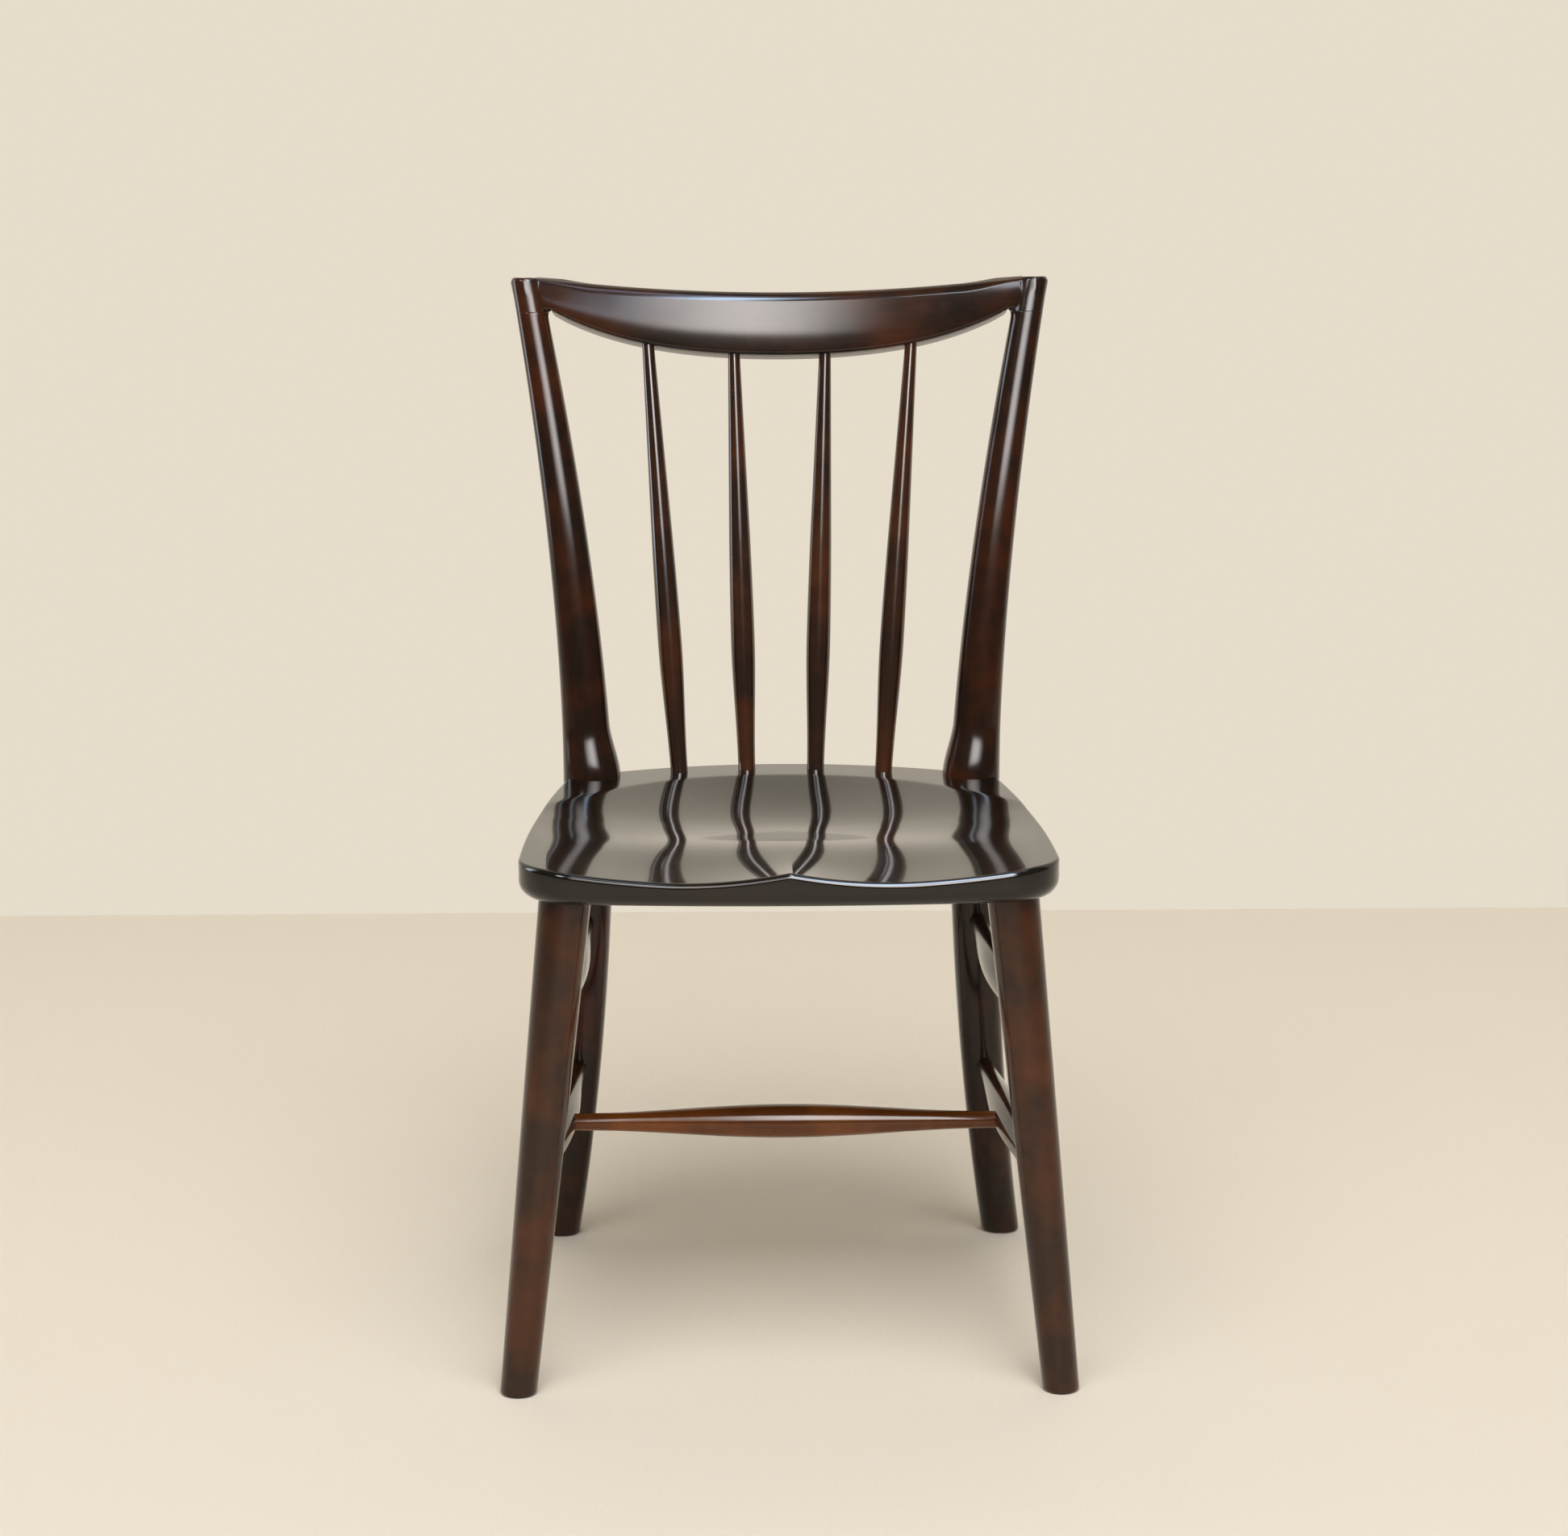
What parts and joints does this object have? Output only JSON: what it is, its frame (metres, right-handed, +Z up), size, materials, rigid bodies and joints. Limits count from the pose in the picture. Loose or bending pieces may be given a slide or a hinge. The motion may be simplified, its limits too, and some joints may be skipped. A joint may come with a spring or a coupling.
{
  "type": "dining chair",
  "caption": "Armless wooden dining chair with a saddled plank seat, turned back spindles under a crescent crest rail, tapered legs and swelled stretchers",
  "frame": {"origin": "on the floor, at the middle of the chair's width and depth", "axes": "+X to the right as seen from the front, +Y to the back, +Z up"},
  "size_m": [0.4782, 0.4958, 0.862],
  "materials": {
    "seat_lacquer": "dark brown gloss lacquer",
    "leg_lacquer": "dark red-brown gloss lacquer",
    "back_lacquer": "dark brown gloss lacquer",
    "turned_lacquer": "dark red-brown gloss lacquer",
    "bare_beech": "bare",
    "screw_steel": "zinc plated"
  },
  "bodies": {
    "root": {"seat": "seat_lacquer", "right_front_leg": "leg_lacquer", "left_front_leg": "leg_lacquer", "right_rear_post": "back_lacquer", "left_rear_post": "back_lacquer", "crest_rail": "back_lacquer", "right_inner_spindle": "turned_lacquer", "left_inner_spindle": "turned_lacquer", "right_outer_spindle": "turned_lacquer", "left_outer_spindle": "turned_lacquer", "right_lower_stretcher": "turned_lacquer", "left_lower_stretcher": "turned_lacquer", "right_upper_stretcher": "turned_lacquer", "left_upper_stretcher": "turned_lacquer", "cross_stretcher": "turned_lacquer", "crest_dowels": "bare_beech", "seat_screws": "screw_steel", "screw_plugs": "back_lacquer"}
  },
  "joints": []
}
